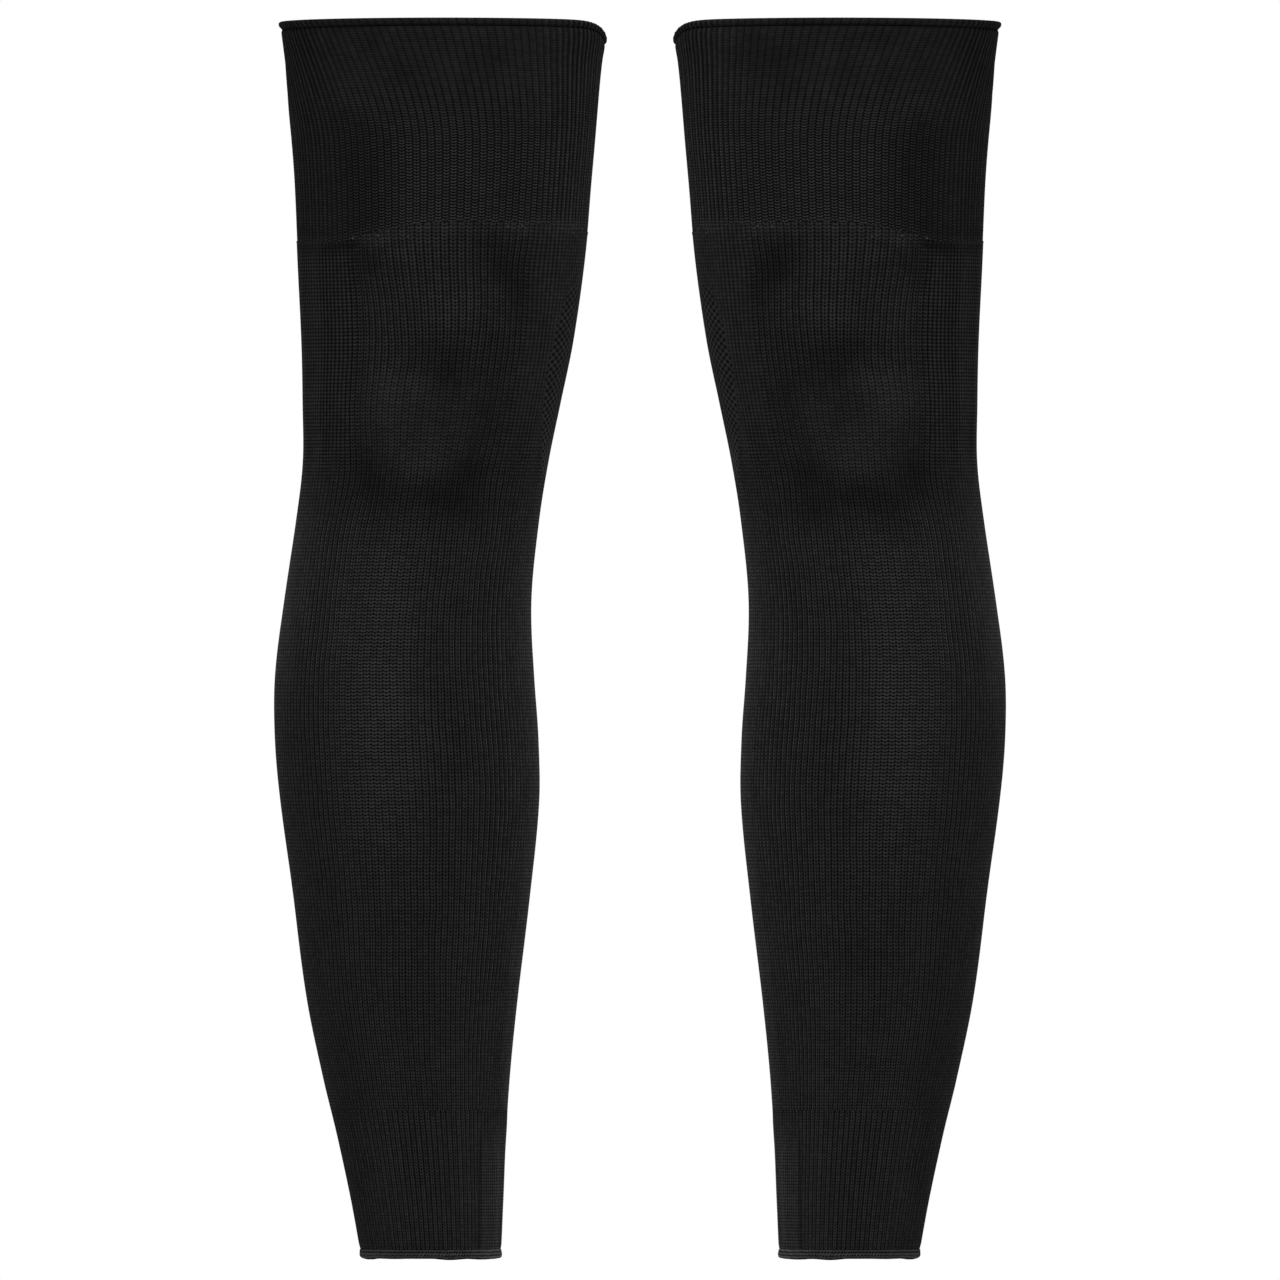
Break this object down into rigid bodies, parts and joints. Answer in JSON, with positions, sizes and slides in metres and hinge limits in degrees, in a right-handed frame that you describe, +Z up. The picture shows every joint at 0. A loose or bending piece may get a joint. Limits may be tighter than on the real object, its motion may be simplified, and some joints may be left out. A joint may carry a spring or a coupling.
{
  "type": "pair of knitted footless leg warmers",
  "caption": "Pair of long knitted leg warmers from ankle to lower thigh, with ribbed thigh cuffs, plain-knit legs and ribbed ankles, filled out as when worn.",
  "frame": {"origin": "halfway up the thigh cuffs, midway between the two legs, on the thighs' centre from front to back", "axes": "+Z up along the legs, -Y the front of the garment, +X towards the wearer's left leg"},
  "size_m": [0.3362, 0.1498, 0.5702],
  "materials": {
    "cuff_rib": "near-black one-by-one rib knit, matt with a soft nap",
    "leg_knit": "near-black plain knit, matt with a soft nap",
    "ankle_rib": "near-black fine one-by-one rib knit, matt",
    "hem_band": "slightly lighter knitted band, matt"
  },
  "bodies": {
    "root": {"right_thigh_cuff": "cuff_rib", "right_leg": "leg_knit", "right_ankle_rib": "ankle_rib", "right_hem_band": "hem_band", "left_thigh_cuff": "cuff_rib", "left_leg": "leg_knit", "left_ankle_rib": "ankle_rib", "left_hem_band": "hem_band"}
  },
  "joints": []
}
